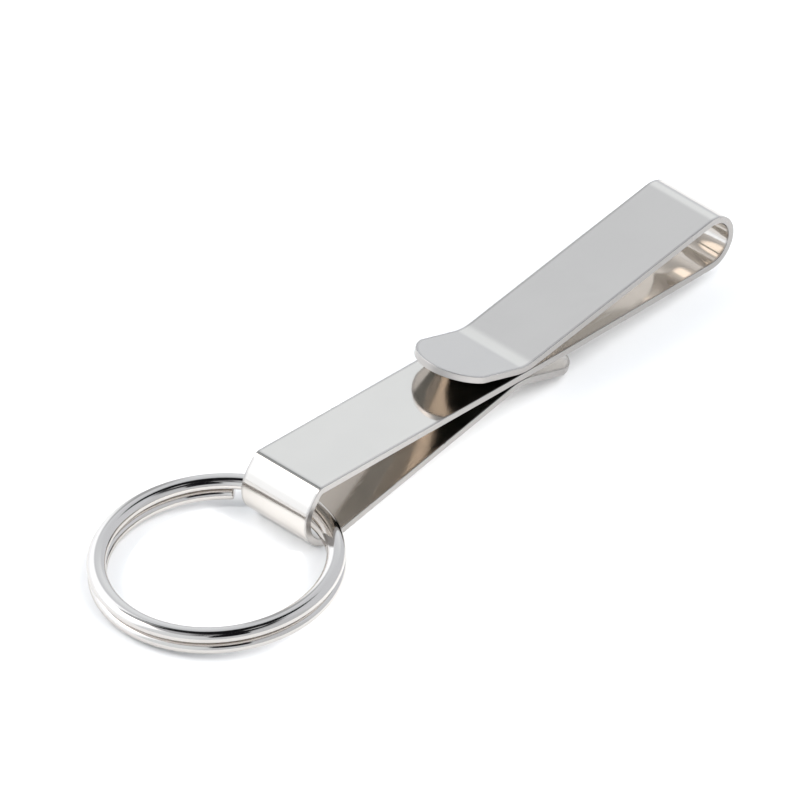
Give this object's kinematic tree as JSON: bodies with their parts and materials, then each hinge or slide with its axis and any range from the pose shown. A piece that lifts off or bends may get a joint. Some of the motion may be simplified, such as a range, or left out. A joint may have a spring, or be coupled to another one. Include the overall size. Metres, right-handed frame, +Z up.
{
  "type": "belt key clip",
  "caption": "Flat S-shaped spring strip: a pinching loop slides over a belt at one end and a hook holds a split key ring at the other.",
  "frame": {"origin": "bottom centre of the whole part's box, on the surface that it rests on", "axes": "+X along the strip from the key ring to the belt loop, +Y across the strip, +Z up"},
  "size_m": [0.1135, 0.035, 0.0122],
  "materials": {
    "spring_strip": "polished nickel-plated spring steel",
    "ring_wire": "bright nickel-plated steel wire"
  },
  "bodies": {
    "ring_tongue": {"ring_tongue": "spring_strip"},
    "web": {"web": "spring_strip"},
    "belt_tongue": {"belt_tongue": "spring_strip"},
    "split_ring": {"split_ring": "ring_wire"}
  },
  "joints": [
    {"name": "ring_tongue_flex", "type": "hinge", "parent": "ring_tongue", "child": "web", "pos_m": [-0.02745, 0, 0.00269], "axis": [0, -1, 0], "range_deg": [0, 12], "stiffness_Nm_per_rad": 0.3},
    {"name": "belt_tongue_flex", "type": "hinge", "parent": "web", "child": "belt_tongue", "pos_m": [0.05678, 0, 0.00673], "axis": [0, 1, 0], "range_deg": [0, 12], "stiffness_Nm_per_rad": 0.3},
    {"name": "ring_swing", "type": "hinge", "parent": "ring_tongue", "child": "split_ring", "pos_m": [-0.0229, 0, 0.0052], "axis": [0, 1, 0], "range_deg": [-110, 115]}
  ]
}
